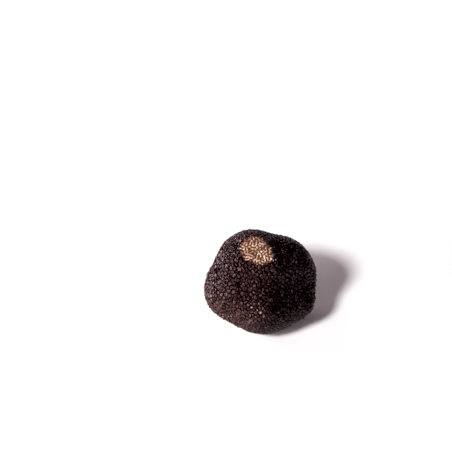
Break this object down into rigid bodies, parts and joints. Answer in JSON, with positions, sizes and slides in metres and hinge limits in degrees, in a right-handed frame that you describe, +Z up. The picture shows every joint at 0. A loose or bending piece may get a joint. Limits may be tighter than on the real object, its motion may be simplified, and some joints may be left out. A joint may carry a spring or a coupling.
{
  "type": "black truffle",
  "caption": "Whole fresh black truffle: a lumpy warted fungus with a small pared spot of veined flesh near its top and a flat foot it rests on.",
  "frame": {"origin": "at floor level, under the middle of the truffle's bounding box", "axes": "+X to the truffle's right and along its longest side, -Y towards the side that the pared spot leans to, +Z up and along its shortest side"},
  "size_m": [0.0456, 0.0434, 0.0402],
  "materials": {
    "truffle_skin": "matt brown-black skin of small flat-topped warts, with cream-veined tan flesh where it is pared"
  },
  "bodies": {
    "root": {"truffle": "truffle_skin"}
  },
  "joints": []
}
